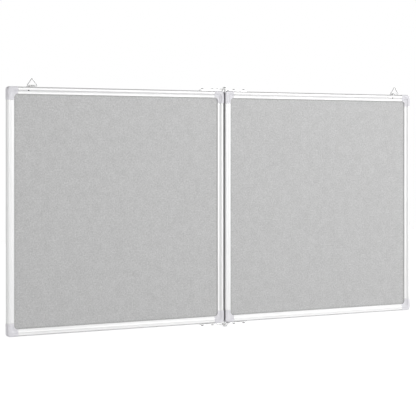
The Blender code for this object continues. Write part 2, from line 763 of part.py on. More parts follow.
def add_hanger(shop, side, frame):
    """Strap, lock screw and ring on one panel's top rail."""
    ring_x = LOCK_X[side] + RING_OFFSET
    strap = shop.add(side + "_hanger_strap", strap_mesh(side + "_hanger_strap"), side,
                     (ring_x, MID_DEPTH, STRAP_TOP))
    sheet = strap.modifiers.new("thickness", "SOLIDIFY")
    sheet.thickness = STRAP_THICKNESS
    sheet.offset = -1
    sheet.use_even_offset = True
    shop.finish(strap, "bright steel", smooth=False)

    wire = curve_mesh(side + "_hanger_ring", ring_curve(side + "_hanger_ring"))
    ring = shop.add(side + "_hanger_ring", wire, side, (ring_x, MID_DEPTH, WIRE_LEVEL))
    shop.finish(ring, "bright steel")

    height = PANEL_HEIGHT - LOCK_DROP
    start = cove_depth(LOCK_DROP, CAP_PROUD) + LOCK_SUNK
    tongue_near = MID_DEPTH - STRAP_FRONT
    tongue_far = tongue_near + STRAP_THICKNESS
    profile = lock_profile(tongue_far + LOCK_GRIP - start, tongue_near - SEAT_GAP - start)
    facing = (QUARTER_TURN, 0, 0)
    lock = shop.add(side + "_hanger_lock_screw", turned_mesh(side + "_hanger_lock_screw", profile), side,
                    (LOCK_X[side], start, height), facing)
    add_turning(lock)
    shop.finish(lock, "dark steel")

    point_hole = shop.cutter(side + "_lock_point_hole",
                             rod_mesh(side + "_lock_point_hole", LOCK_POINT_RADIUS + SEAT_GAP,
                                      STRAP_THICKNESS + 2 * OVERRUN),
                             (LOCK_X[side], (tongue_near + tongue_far) / 2, height), facing)
    boolean(strap, point_hole, "DIFFERENCE")
    body_hole = shop.cutter(side + "_lock_hole",
                            rod_mesh(side + "_lock_hole", LOCK_RADIUS + SEAT_GAP, 2 * tongue_near),
                            (LOCK_X[side], SEAT_GAP, height), facing)
    boolean(frame["top_rail"], body_hole, "DIFFERENCE")
    slot_start = ring_x - STRAP_START - SEAT_GAP
    slot = box_mesh(side + "_tongue_slot",
                    (slot_start, tongue_near - SEAT_GAP, PANEL_HEIGHT - CAP_PROUD - 2 * RAIL_WALL),
                    (slot_start + TONGUE_WIDTH + 2 * SEAT_GAP, tongue_far + SEAT_GAP,
                     PANEL_HEIGHT + OVERRUN))
    boolean(frame["top_rail"], shop.cutter(side + "_tongue_slot", slot), "DIFFERENCE")


def main():
    clear_scene()
    shop = Workshop()
    cap_mesh = corner_cap_mesh(shop)
    for side in ("left", "right"):
        frame = add_frame(shop, side, cap_mesh)
        add_board(shop, side)
        for level in ("top", "bottom"):
            add_leaf(shop, side, level)
            add_hinge_screws(shop, side, level, frame)
        add_hanger(shop, side, frame)
    for level in ("top", "bottom"):
        add_pivot(shop, level)


main()
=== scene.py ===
"""Finishes of the foldable magnetic whiteboard, its light and its camera.

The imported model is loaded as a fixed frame. Each operator below finishes one
piece of the board, or one group of like pieces, in the frame's own place.
Lengths are in metres.
"""
import itertools
import json
import math

import bmesh
import bpy
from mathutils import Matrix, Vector

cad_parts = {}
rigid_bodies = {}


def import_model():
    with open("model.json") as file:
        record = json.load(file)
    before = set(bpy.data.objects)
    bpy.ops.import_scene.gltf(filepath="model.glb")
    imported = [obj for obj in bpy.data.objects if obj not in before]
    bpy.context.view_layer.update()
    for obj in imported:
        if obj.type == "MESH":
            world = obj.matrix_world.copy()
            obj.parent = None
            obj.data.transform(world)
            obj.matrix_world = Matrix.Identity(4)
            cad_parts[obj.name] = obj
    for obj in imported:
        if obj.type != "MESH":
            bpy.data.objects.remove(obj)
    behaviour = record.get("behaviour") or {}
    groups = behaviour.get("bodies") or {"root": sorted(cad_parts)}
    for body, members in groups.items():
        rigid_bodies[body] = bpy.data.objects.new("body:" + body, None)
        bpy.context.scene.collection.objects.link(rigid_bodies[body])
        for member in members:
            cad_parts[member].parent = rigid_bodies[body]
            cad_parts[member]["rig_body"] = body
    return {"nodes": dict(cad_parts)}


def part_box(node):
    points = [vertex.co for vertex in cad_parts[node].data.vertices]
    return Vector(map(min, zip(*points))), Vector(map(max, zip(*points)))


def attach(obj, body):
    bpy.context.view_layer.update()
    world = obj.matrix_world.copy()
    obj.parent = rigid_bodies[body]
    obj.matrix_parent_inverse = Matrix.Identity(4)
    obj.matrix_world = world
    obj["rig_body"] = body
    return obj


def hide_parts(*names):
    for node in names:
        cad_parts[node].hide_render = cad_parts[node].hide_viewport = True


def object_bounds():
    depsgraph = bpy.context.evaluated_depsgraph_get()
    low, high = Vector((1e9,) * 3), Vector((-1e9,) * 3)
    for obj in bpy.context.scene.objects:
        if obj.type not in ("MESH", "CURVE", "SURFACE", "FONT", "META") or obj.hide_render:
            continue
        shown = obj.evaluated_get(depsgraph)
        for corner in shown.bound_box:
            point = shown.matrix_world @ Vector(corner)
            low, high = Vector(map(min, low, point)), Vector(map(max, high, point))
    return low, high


bl_info = {
    "name": "Foldable magnetic whiteboard",
    "version": (1, 0, 0),
    "blender": (4, 5, 0),
    "location": "View3D > Sidebar > Whiteboard",
    "description": "Finishes, lights and frames a foldable magnetic whiteboard",
    "category": "Object",
}

# The frame that the pieces are fitted to
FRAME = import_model()
CAD_LOW, CAD_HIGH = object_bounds()
FOLD = (CAD_LOW.x + CAD_HIGH.x) / 2
HALF_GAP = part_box("right_inner_stile")[0].x - FOLD

# Painted shade on the sides that meet at the fold, for the dark gap: its strength,
# and the distances from the fold, in half gaps, between which it fades
FOLD_SHADE = 0.48
FOLD_FADE = (1.1, 1.5)

# What the frame's nodes are called
SIDES = ("left", "right")
LEVELS = ("top", "bottom")
RAILS = ("top_rail", "bottom_rail")
STILES = ("outer_stile", "inner_stile")
CAPS = ("top_outer_cap", "top_inner_cap", "bottom_outer_cap", "bottom_inner_cap")

# Distances and angles that tell one point, face or edge from another
WELD = 0.00001
FLAT_ANGLE = math.radians(0.5)
SMOOTH_ANGLE = math.radians(38)
ARC_SHARE = 0.03
FACES_DOWN = -0.9

ORIGIN = (0, 0, 0)
QUARTER_TURN = math.radians(90)
HALF_TURN = math.radians(180)

# The hinge screws, as shares of the head's radius
HEAD_HEIGHT = 0.68
SHANK_RADIUS = 0.46
POINT_LENGTH = 0.53
POINT_TIP = 0.08
# and as shares of the head's height
HEAD_ROUNDING = 0.78
RECESS_DEPTH = 0.9
# The cross recess's span, as a share of the radius, and how it narrows downwards
RECESS_SPAN = 1.15
RECESS_TAPER = (0.35, 0.75, 1)

# The inner radius of the washers on the hinge pins
WASHER_BORE = 0.0028

# The hinge pins: the gap at their seats, then shares of the dome's radius
PIN_SEAT_GAP = 0.0003
PIN_SHANK = 0.403
PIN_EDGE = 0.05
# and how the riveted tail flares and narrows again
TAIL_FLARE = 1.28
TAIL_TAPER = 0.85

# The lock screws: the body as a share of the length, and shares of the radius
LOCK_BODY = 0.53
LOCK_SHOULDER = 0.47
LOCK_SOCKET = 0.58
LOCK_EDGE = 0.08

# The photograph's camera
CAMERA_PLACE = (-1.4184, -3.3022, -0.1659)
CAMERA_HEADING = math.radians(-30.026)
CAMERA_LENS = 128.03
CAMERA_SENSOR = 36
CAMERA_SHIFT = -0.1447
CAMERA_REACH = 100

# The studio's lamps: name, place, size and power in watts
LAMPS = (
    ("key", (5.0, -6.3, 2.0), 5.0, 352),
    ("fill", (-6.0, -1.0, 0.6), 3.0, 85),
    ("rear", (5.2, 4.2, 1.0), 3.5, 330),
)

# The floor, which turns from a pale grey to white between two distances from the board
FLOOR_SIZE = 40
FLOOR_COLOUR = (0.72, 0.72, 0.72)
FLOOR_ROUGHNESS = 0.9
FLOOR_SWEEP = (2.6, 4.8)
FLOOR_GLOWS = (0.2, 0.88)

# The world: its strength as a light, and the rise (as a sine) over which it turns grey
WORLD_LIGHT = 0.32
CEILING_SINES = (0.15, 0.6)
CEILING_GREY = 0.5


class WhiteboardSizes(bpy.types.PropertyGroup):
    """Sizes of the details that the finished pieces add."""

    rail_edge: bpy.props.FloatProperty(
        name="Rail edge", description="Width of the rails' broken edges",
        default=0.00012, min=0, subtype="DISTANCE")
    rail_chamfer: bpy.props.FloatProperty(
        name="Rail chamfer", description="Width and depth of the rails' outer chamfers",
        default=0.003, min=0, subtype="DISTANCE")
    cap_edge: bpy.props.FloatProperty(
        name="Cap edge", description="Width of the corner caps' moulded edges",
        default=0.0002, min=0, subtype="DISTANCE")
    leaf_edge: bpy.props.FloatProperty(
        name="Leaf edge", description="Width of the hinge leaves' rounded edges",
        default=0.0003, min=0, subtype="DISTANCE")
    strap_edge: bpy.props.FloatProperty(
        name="Strap edge", description="Width of the hanger straps' rounded edges",
        default=0.00015, min=0, subtype="DISTANCE")
    ring_corner: bpy.props.FloatProperty(
        name="Ring corner", description="Radius of the rings' lower corners, at the wire's middle",
        default=0.0015, min=0, subtype="DISTANCE")
    ring_peak: bpy.props.FloatProperty(
        name="Ring peak", description="Radius of the rings' peak, at the wire's middle",
        default=0.0016, min=0, subtype="DISTANCE")
    screw_slot: bpy.props.FloatProperty(
        name="Screw slot", description="Width of the cross recess in the hinge screws",
        default=0.0008, min=0, subtype="DISTANCE")
    # The darker line along the frame is a painted shadow under the frame's lips
    painted_frame_shadow: bpy.props.FloatProperty(
        name="Painted_shadow", description="Width of the darker line on the grey sheets along the frame",
        default=0.004, min=0, subtype="DISTANCE")
    floor_drop: bpy.props.FloatProperty(
        name="Floor drop", description="Height of the hung board above the floor",
        default=1.15, min=0, subtype="DISTANCE")


class WhiteboardColours(bpy.types.PropertyGroup):
    """Colours of the finishes."""

    aluminium: bpy.props.FloatVectorProperty(
        name="Aluminium", description="Satin anodised frame rails",
        default=(0.81, 0.81, 0.81), min=0, max=1, subtype="COLOR")
    caps: bpy.props.FloatVectorProperty(
        name="Corner caps", description="Moulded corner caps",
        default=(0.91, 0.90, 0.94), min=0, max=1, subtype="COLOR")
    zinc: bpy.props.FloatVectorProperty(
        name="Grey sheet", description="Zinc-coated steel sheet",
        default=(0.52, 0.52, 0.52), min=0, max=1, subtype="COLOR")
    enamel: bpy.props.FloatVectorProperty(
        name="Writing sheet", description="White enamelled writing sheet",
        default=(0.88, 0.88, 0.88), min=0, max=1, subtype="COLOR")
    core: bpy.props.FloatVectorProperty(
        name="Core", description="Core board between the sheets",
        default=(0.50, 0.40, 0.28), min=0, max=1, subtype="COLOR")
    steel: bpy.props.FloatVectorProperty(
        name="Bright steel", description="Hinge leaves, pins and washers",
        default=(0.7, 0.7, 0.7), min=0, max=1, subtype="COLOR")
    wire: bpy.props.FloatVectorProperty(
        name="Plated wire", description="Rings and straps",
        default=(0.38, 0.38, 0.38), min=0, max=1, subtype="COLOR")
    screws: bpy.props.FloatVectorProperty(
        name="Hinge screws", description="Plated screws that hold the hinges",
        default=(0.26, 0.26, 0.26), min=0, max=1, subtype="COLOR")
    dark_steel: bpy.props.FloatVectorProperty(
        name="Dark steel", description="Blackened lock screws",
        default=(0.06, 0.06, 0.065), min=0, max=1, subtype="COLOR")
    nylon: bpy.props.FloatVectorProperty(
        name="Nylon", description="Friction washers",
        default=(0.80, 0.80, 0.76), min=0, max=1, subtype="COLOR")


# Selecting and shaping


def select_only(piece):
    if bpy.context.mode != "OBJECT":
        bpy.ops.object.mode_set(mode="OBJECT")
    bpy.ops.object.select_all(action="DESELECT")
    piece.select_set(True)
    bpy.context.view_layer.objects.active = piece


def start_editing(piece, mode):
    select_only(piece)
    bpy.ops.object.mode_set(mode="EDIT")
    bpy.ops.mesh.select_mode(type=mode)


def pick(piece, kind, wanted):
    """Select the faces, edges or verts that pass a test, and nothing else."""
    shape = bmesh.from_edit_mesh(piece.data)
    for part in itertools.chain(shape.faces, shape.edges, shape.verts):
        part.select = False
    for part in getattr(shape, kind):
        if wanted(part):
            part.select_set(True)
    shape.select_flush_mode()
    bmesh.update_edit_mesh(piece.data)


def faces_down(face):
    return face.normal.z < FACES_DOWN


def stop_editing():
    bpy.ops.object.mode_set(mode="OBJECT")


def name_piece(name):
    piece = bpy.context.object
    piece.name = name
    piece.data.name = name
    return piece


def settle(piece):
    """Put a piece's place into its mesh, so that its object is at the origin."""
    select_only(piece)
    bpy.ops.object.transform_apply(location=True, rotation=True, scale=True)


def tidy_mesh(piece):
    """Merge doubles and turn the faces outwards."""
    start_editing(piece, "VERT")
    bpy.ops.mesh.select_all(action="SELECT")
    bpy.ops.mesh.remove_doubles(threshold=WELD)
    bpy.ops.mesh.normals_make_consistent(inside=False)
    stop_editing()


def smooth(piece):
    """Shade smooth over shallow edges, with broad faces kept flat."""
    select_only(piece)
    bpy.ops.object.shade_smooth_by_angle(angle=SMOOTH_ANGLE)
    modifier = piece.modifiers.new("broad faces flat", "WEIGHTED_NORMAL")
    modifier.keep_sharp = True
    bpy.ops.object.modifier_apply(modifier=modifier.name)


def round_edges(piece, width, steps=2):
    """Round or break a piece's sharp edges with an applied bevel."""
    select_only(piece)
    modifier = piece.modifiers.new("rounded edges", "BEVEL")
    modifier.width = width
    modifier.segments = steps
    modifier.limit_method = "ANGLE"
    modifier.angle_limit = SMOOTH_ANGLE
    bpy.ops.object.modifier_apply(modifier=modifier.name)


def flatten_corners(piece, radius):
    """Turn an extrusion's long rounded corners into flat chamfers."""
    corners = [Vector(corner) for corner in piece.bound_box]
    low, high = corners[0], corners[6]
    across = 2 if high.x - low.x > high.z - low.z else 0

    def is_on_arc(edge):
        first, second = (vert.co for vert in edge.verts)
        if max(abs(first[axis] - second[axis]) for axis in (1, across)) > WELD:
            return False
        depths = [min(first[axis] - low[axis], high[axis] - first[axis]) for axis in (1, across)]
        if min(depths) < WELD or max(depths) > radius - WELD:
            return False
        return abs(math.hypot(*(radius - depth for depth in depths)) - radius) < radius * ARC_SHARE

    start_editing(piece, "EDGE")
    pick(piece, "edges", is_on_arc)
    bpy.ops.mesh.dissolve_edges(use_verts=True)
    stop_editing()


def extrude_up(height):
    """Extrude the selected faces up, or down where the height is negative."""
    bpy.ops.mesh.extrude_region_move(TRANSFORM_OT_translate={"value": (0, 0, height)})


def cut(piece, cutter):
    """Cut one mesh out of another and remove the cutter."""
    modifier = piece.modifiers.new("cut", "BOOLEAN")
    modifier.operation = "DIFFERENCE"
    modifier.solver = "EXACT"
    modifier.object = cutter
    select_only(piece)
    bpy.ops.object.modifier_apply(modifier=modifier.name)
    bpy.data.objects.remove(cutter, do_unlink=True)


def copy_piece(piece, name):
    """A copy of a finished piece with its own mesh."""
    select_only(piece)
    bpy.ops.object.duplicate(linked=False)
    return name_piece(name)


def copy_node(node, name):
    """A merged copy of a frame node, with its flat faces whole again."""
    piece = copy_piece(FRAME["nodes"][node], name)
    for key in list(piece.keys()):
        del piece[key]
    piece.parent = None
    tidy_mesh(piece)
    start_editing(piece, "EDGE")
    bpy.ops.mesh.select_all(action="SELECT")
    bpy.ops.mesh.dissolve_limited(angle_limit=FLAT_ANGLE)
    stop_editing()
    return piece


def hand_over(piece, node, material):
    """Give a finished piece its material, its body and the node it stands for."""
    piece.data.materials.clear()
    piece.data.materials.append(material)
    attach(piece, FRAME["nodes"][node]["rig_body"])
    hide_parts(node)


# Materials


class Finish:
    """A material under construction: its shader and the nodes that feed it."""

    def __init__(self, name, colour, roughness, metallic=0.0):
        self.material = bpy.data.materials.new(name)
        self.material.use_nodes = True
        self.tree = self.material.node_tree
        self.shader = self.tree.nodes["Principled BSDF"]
        self.shader.inputs["Roughness"].default_value = roughness
        self.shader.inputs["Metallic"].default_value = metallic
        self.shader.inputs["Base Color"].default_value = (*colour, 1)
        self.material.diffuse_color = (*colour, 1)
        self.place = self.tree.nodes.new("ShaderNodeTexCoord").outputs["Object"]

    def link(self, source, target):
        self.tree.links.new(source, target)

    def stretched(self, scale):
        """Object coordinates scaled by a different amount each way."""
        mapping = self.tree.nodes.new("ShaderNodeMapping")
        mapping.inputs["Scale"].default_value = scale
        self.link(self.place, mapping.inputs["Vector"])
        return mapping.outputs["Vector"]

    def noise(self, scale, detail=2.0, place=None, roughness=0.5):
        node = self.tree.nodes.new("ShaderNodeTexNoise")
        node.inputs["Scale"].default_value = scale
        node.inputs["Detail"].default_value = detail
        node.inputs["Roughness"].default_value = roughness
        self.link(place or self.place, node.inputs["Vector"])
        return node.outputs["Fac"]

    def ramp(self, source, low, high, start=0.3, end=0.7):
        """A number that follows a pattern from low to high."""
        node = self.tree.nodes.new("ShaderNodeMapRange")
        node.inputs["From Min"].default_value = start
        node.inputs["From Max"].default_value = end
        node.inputs["To Min"].default_value = low
        node.inputs["To Max"].default_value = high
        self.link(source, node.inputs["Value"])
        return node.outputs["Result"]

    def combine(self, operation, first, second=0.0):
        """One number from two patterns, or from a pattern and a constant."""
        node = self.tree.nodes.new("ShaderNodeMath")
        node.operation = operation
        self.link(first, node.inputs[0])
        if isinstance(second, float):
            node.inputs[1].default_value = second
        else:
            self.link(second, node.inputs[1])
        return node.outputs["Value"]

    def times(self, first, second):
        return self.combine("MULTIPLY", first, second)

    def distance(self, source, centre):
        return self.combine("ABSOLUTE", self.combine("SUBTRACT", source, centre))

    def axis_distance(self, axis, centre):
        """The distance from a plane across an axis."""
        parts = self.tree.nodes.new("ShaderNodeSeparateXYZ")
        self.link(self.place, parts.inputs["Vector"])
        return self.distance(parts.outputs[axis], centre)

    def fold_painted_shade(self):
        """Darker on the sides that meet at the fold: painted shade for the narrow gap."""
        start, end = (HALF_GAP * share for share in FOLD_FADE)
        return self.ramp(self.axis_distance("X", FOLD), FOLD_SHADE, 1.0, start, end)

    def tint(self, colour, factor):
        """The base colour, made darker or lighter by a pattern."""
        node = self.tree.nodes.new("ShaderNodeVectorMath")
        node.operation = "SCALE"
        node.inputs[0].default_value = colour
        self.link(factor, node.inputs["Scale"])
        self.link(node.outputs["Vector"], self.shader.inputs["Base Color"])

    def vary_roughness(self, source, low, high):
        self.link(self.ramp(source, low, high), self.shader.inputs["Roughness"])

    def bump(self, source, height, strength=1.0):
        node = self.tree.nodes.new("ShaderNodeBump")
        node.inputs["Distance"].default_value = height
        node.inputs["Strength"].default_value = strength
        self.link(source, node.inputs["Height"])
        self.link(node.outputs["Normal"], self.shader.inputs["Normal"])


def satin_aluminium(colour, direction):
    """Anodised extrusion with fine die lines along the rail, and painted shade at the fold."""
    finish = Finish("satin aluminium, " + direction, colour, roughness=0.5, metallic=0.4)
    along, across = 6, 4200
    stretch = (along, across, across) if direction == "level" else (across, across, along)
    lines = finish.noise(scale=1, detail=3, place=finish.stretched(stretch))
    clouds = finish.noise(scale=14, detail=3)
    shades = finish.times(finish.ramp(lines, low=0.975, high=1.02),
                          finish.ramp(clouds, low=0.985, high=1.01))
    # The die lines and clouds vary the colour, and the fold term is painted shade in the gap
    finish.tint(colour, finish.times(shades, finish.fold_painted_shade()))
    finish.vary_roughness(lines, low=0.45, high=0.55)
    finish.bump(lines, height=0.000005)
    return finish.material


def moulded_plastic(colour):
    """Satin moulded plastic with a fine spark texture, and painted shade at the fold."""
    finish = Finish("moulded plastic", colour, roughness=0.42)
    grain = finish.noise(scale=2600, detail=2)
    clouds = finish.noise(scale=60, detail=2)
    shades = finish.ramp(clouds, low=0.97, high=1.02)
    # The fold term is painted shade where the caps face the gap
    finish.tint(colour, finish.times(shades, finish.fold_painted_shade()))
    finish.vary_roughness(grain, low=0.36, high=0.48)
    finish.bump(grain, height=0.00003)
    return finish.material


def zinc_coating(colour, painted_frame_shadow):
    """Matt zinc coating, mottled in patches and grains, with a painted shadow along the frame."""
    finish = Finish("zinc coating", colour, roughness=0.6, metallic=0.25)
    patches = finish.ramp(finish.noise(scale=45, detail=3), low=0.965, high=1.035)
    grains = finish.ramp(finish.noise(scale=280, detail=4, roughness=0.7), low=0.81, high=1.19)
    # The mask below is a painted shadow along the frame, down to 0.8 of the colour
    left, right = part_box("left_outer_stile")[1].x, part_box("left_inner_stile")[0].x
    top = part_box("left_top_rail")[0].z
    half = (right - left) / 2
    level = finish.distance(finish.axis_distance("X", FOLD), FOLD - (left + right) / 2)
    upright = finish.axis_distance("Z", top - half)
    from_middle = finish.combine("MAXIMUM", level, upright)
    edge = finish.ramp(from_middle, low=1.0, high=0.8, start=half - painted_frame_shadow, end=half - painted_frame_shadow / 3)
    finish.tint(colour, finish.times(edge, finish.times(patches, grains)))
    finish.vary_roughness(finish.noise(scale=400, detail=2), low=0.52, high=0.66)
    finish.bump(finish.noise(scale=900, detail=3), height=0.00004)
    return finish.material


def writing_enamel(colour):
    """Glossy white enamel with a faint orange peel."""
    finish = Finish("writing enamel", colour, roughness=0.14)
    finish.tint(colour, finish.ramp(finish.noise(scale=9, detail=2), low=0.985, high=1.005))
    finish.vary_roughness(finish.noise(scale=22, detail=4), low=0.11, high=0.19)
    finish.bump(finish.noise(scale=240, detail=1), height=0.00001, strength=0.6)
    return finish.material


def core_board(colour):
    """Fibre board seen on edge."""
    finish = Finish("core board", colour, roughness=0.9)
    fibres = finish.noise(scale=1, detail=4, place=finish.stretched((160, 1800, 160)))
    finish.tint(colour, finish.ramp(fibres, low=0.8, high=1.15))
    finish.vary_roughness(fibres, low=0.8, high=0.95)
    finish.bump(fibres, height=0.0001)
    return finish.material


def plated_steel(name, colour):
    """Zinc plate with faint rolling marks and handling haze."""
    finish = Finish(name, colour, roughness=0.25, metallic=1.0)
    marks = finish.noise(scale=1, detail=3, place=finish.stretched((120, 2600, 2600)))
    haze = finish.noise(scale=130, detail=3)
    finish.tint(colour, finish.times(finish.ramp(marks, low=0.95, high=1.04),
                                     finish.ramp(haze, low=0.94, high=1.03)))
    finish.vary_roughness(haze, low=0.2, high=0.34)
    finish.bump(marks, height=0.00001)
    return finish.material


def dark_steel(colour):
    """Blackened steel."""
    finish = Finish("dark steel", colour, roughness=0.38, metallic=0.9)
    haze = finish.noise(scale=900, detail=2)
    finish.tint(colour, finish.ramp(haze, low=0.8, high=1.3))
    finish.vary_roughness(haze, low=0.3, high=0.5)
    finish.bump(finish.noise(scale=2400, detail=2), height=0.00001)
    return finish.material


def natural_nylon(colour):
    """Natural nylon with a fine moulded grain."""
    finish = Finish("natural nylon", colour, roughness=0.5)
    grain = finish.noise(scale=1800, detail=2)
    finish.tint(colour, finish.ramp(finish.noise(scale=700, detail=2), low=0.97, high=1.02))
    finish.vary_roughness(grain, low=0.42, high=0.58)
    finish.bump(grain, height=0.00002)
    return finish.material


# Pieces


class WHITEBOARD_OT_rails(bpy.types.Operator):
    """Finish the aluminium rails and stiles"""

    bl_idname = "whiteboard.rails"
    bl_label = "Rails and stiles"

    def execute(self, context):
        sizes = context.scene.whiteboard_sizes
        colour = context.scene.whiteboard_colours.aluminium
        level = satin_aluminium(colour, "level")
        upright = satin_aluminium(colour, "upright")
        for side, rail in itertools.product(SIDES, RAILS + STILES):
            node = f"{side}_{rail}"
            piece = copy_node(node, node + "_extrusion")
            flatten_corners(piece, sizes.rail_chamfer)
            round_edges(piece, sizes.rail_edge)
            smooth(piece)
            hand_over(piece, node, level if rail in RAILS else upright)
        return {"FINISHED"}


class WHITEBOARD_OT_corner_caps(bpy.types.Operator):
    """Finish the moulded corner caps"""

    bl_idname = "whiteboard.corner_caps"
    bl_label = "Corner caps"

    def execute(self, context):
        sizes = context.scene.whiteboard_sizes
        material = moulded_plastic(context.scene.whiteboard_colours.caps)
        for side, cap in itertools.product(SIDES, CAPS):
            node = f"{side}_{cap}"
            piece = copy_node(node, node + "_moulding")
            round_edges(piece, sizes.cap_edge)
            smooth(piece)
            hand_over(piece, node, material)
        return {"FINISHED"}


class WHITEBOARD_OT_board_layers(bpy.types.Operator):
    """Give the grey sheets, cores and writing sheets their materials"""

    bl_idname = "whiteboard.board_layers"
    bl_label = "Board layers"

    def execute(self, context):
        colours = context.scene.whiteboard_colours
        layers = {
            "grey_sheet": zinc_coating(colours.zinc, context.scene.whiteboard_sizes.painted_frame_shadow),
            "core": core_board(colours.core),
            "writing_sheet": writing_enamel(colours.enamel),
        }
        for side, (layer, material) in itertools.product(SIDES, layers.items()):
            node = FRAME["nodes"][f"{side}_{layer}"]
            node.material_slots[0].material = material
        return {"FINISHED"}


class WHITEBOARD_OT_hinge_leaves(bpy.types.Operator):
    """Finish the cranked hinge leaves"""

    bl_idname = "whiteboard.hinge_leaves"
    bl_label = "Hinge leaves"

    def execute(self, context):
        sizes = context.scene.whiteboard_sizes
        material = plated_steel("bright steel", context.scene.whiteboard_colours.steel)
        for side, level in itertools.product(SIDES, LEVELS):
            node = f"{side}_{level}_hinge_leaf"
            piece = copy_node(node, node + "_plate")
            round_edges(piece, sizes.leaf_edge, 3)
            smooth(piece)
            hand_over(piece, node, material)
        return {"FINISHED"}


class WHITEBOARD_OT_hinge_screws(bpy.types.Operator):
    """Model the pan head screws that hold the hinge leaves"""

    bl_idname = "whiteboard.hinge_screws"
    bl_label = "Hinge screws"

    def execute(self, context):
        sizes = context.scene.whiteboard_sizes
        material = plated_steel("plated screw", context.scene.whiteboard_colours.screws)
        master = self.model_screw(sizes.screw_slot)
        for side, level, place in itertools.product(SIDES, LEVELS, ("inner", "outer")):
            node = f"{side}_{level}_hinge_{place}_screw"
            low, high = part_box(node)
            screw = copy_piece(master, node + "_pan_head")
            screw.location = ((low.x + high.x) / 2, (low.y + high.y) / 2, high.z)
            if level == "bottom":
                screw.location.z = low.z
                screw.rotation_euler.x = HALF_TURN
            settle(screw)
            hand_over(screw, node, material)
        bpy.data.objects.remove(master, do_unlink=True)
        return {"FINISHED"}

    def model_screw(self, slot_width):
        """A screw whose head's top is at the origin."""
        low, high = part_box("left_top_hinge_inner_screw")
        radius = (high.x - low.x) / 2
        length = high.z - low.z
        head = radius * HEAD_HEIGHT
        shank = radius * SHANK_RADIUS
        point = radius * POINT_LENGTH
        bpy.ops.mesh.primitive_cylinder_add(vertices=40, radius=radius, depth=head,
                                            location=(0, 0, -head / 2))
        screw = name_piece("pan_head_screw")
        settle(screw)
        start_editing(screw, "EDGE")
        pick(screw, "edges", lambda edge: all(vert.co.z > -WELD for vert in edge.verts))
        bpy.ops.mesh.bevel(offset=head * HEAD_ROUNDING, segments=7, profile=0.5)
        bpy.ops.mesh.select_mode(type="FACE")
        pick(screw, "faces", faces_down)
        bpy.ops.mesh.inset(thickness=radius - shank)
        extrude_up(head + point - length)
        extrude_up(-point)
        bpy.ops.transform.resize(value=(POINT_TIP, POINT_TIP, 1))
        stop_editing()
        bpy.ops.mesh.primitive_cube_add(size=1, location=ORIGIN)
        cross = name_piece("cross_cutter")
        cross.scale = (radius * RECESS_SPAN, slot_width, head * RECESS_DEPTH)
        settle(cross)
        start_editing(cross, "FACE")
        pick(cross, "faces", faces_down)
        bpy.ops.transform.resize(value=RECESS_TAPER)
        stop_editing()
        other = copy_piece(cross, "cross_cutter_turned")
        other.rotation_euler.z = QUARTER_TURN
        settle(other)
        cut(screw, cross)
        cut(screw, other)
        smooth(screw)
        return screw


class WHITEBOARD_OT_hinge_pins(bpy.types.Operator):
    """Model the domed hinge pins and their washers"""

    bl_idname = "whiteboard.hinge_pins"
    bl_label = "Hinge pins and washers"

    def execute(self, context):
        colours = context.scene.whiteboard_colours
        steel = plated_steel("bright steel pin", colours.steel)
        nylon = natural_nylon(colours.nylon)
        for level in LEVELS:
            self.make_pin(level, steel)
            self.make_washer(level + "_hinge_friction_washer", nylon, "nylon")
            self.make_washer(level + "_hinge_spring_washer", steel, "bright_steel")
        return {"FINISHED"}

    def make_pin(self, level, material):
        """A dome on a shank that ends in a riveted tail."""
        node = level + "_hinge_pin"
        low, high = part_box(node)
        centre = (low + high) / 2
        radius = (high.x - low.x) / 2
        washer_low, washer_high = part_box(level + "_hinge_spring_washer")
        leaf_low, leaf_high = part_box("right_" + level + "_hinge_leaf")
        if level == "top":
            dome_seat = washer_high.z + PIN_SEAT_GAP
            crown = high.z
            tail = leaf_low.z - PIN_SEAT_GAP
            end = low.z
        else:
            dome_seat = PIN_SEAT_GAP - washer_low.z
            crown = -low.z
            tail = -leaf_high.z - PIN_SEAT_GAP
            end = -high.z
        dome = crown - dome_seat
        shank = radius * PIN_SHANK
        bpy.ops.mesh.primitive_uv_sphere_add(segments=48, ring_count=24, radius=radius)
        pin = name_piece(node + "_rivet")
        start_editing(pin, "EDGE")
        bpy.ops.mesh.select_all(action="SELECT")
        bpy.ops.mesh.bisect(plane_co=ORIGIN, plane_no=(0, 0, 1), use_fill=True, clear_inner=True)
        bpy.ops.mesh.select_all(action="SELECT")
        bpy.ops.transform.resize(value=(1, 1, dome / radius), center_override=ORIGIN)
        bpy.ops.mesh.normals_make_consistent(inside=False)
        bpy.ops.mesh.select_mode(type="FACE")
        pick(pin, "faces", faces_down)
        bpy.ops.mesh.inset(thickness=radius - shank)
        extrude_up(tail - dome_seat)
        bpy.ops.mesh.extrude_region_move()
        bpy.ops.transform.resize(value=(TAIL_FLARE, TAIL_FLARE, 1))
        extrude_up(end - tail)
        bpy.ops.transform.resize(value=(TAIL_TAPER, TAIL_TAPER, 1))
        stop_editing()
        round_edges(pin, radius * PIN_EDGE)
        pin.location = (centre.x, centre.y, dome_seat)
        if level == "bottom":
            pin.location.z = -dome_seat
            pin.rotation_euler.x = HALF_TURN
        settle(pin)
        smooth(pin)
        hand_over(pin, node, material)

    def make_washer(self, node, material, slot):
        low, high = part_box(node)
        radius = (high.x - low.x) / 2
        centre = ((low.x + high.x) / 2, (low.y + high.y) / 2, low.z)
        bpy.ops.mesh.primitive_circle_add(vertices=48, radius=radius, fill_type="NOTHING",
                                          location=centre)
        washer = name_piece(node + "_ring")
        settle(washer)
        start_editing(washer, "EDGE")
        bpy.ops.mesh.select_all(action="SELECT")
        bpy.ops.mesh.extrude_edges_move()
        share = WASHER_BORE / radius
        bpy.ops.transform.resize(value=(share, share, 1), center_override=centre)
        bpy.ops.mesh.select_all(action="SELECT")
        extrude_up(high.z - low.z)
        stop_editing()
        tidy_mesh(washer)
        smooth(washer)
        hand_over(washer, node, material)


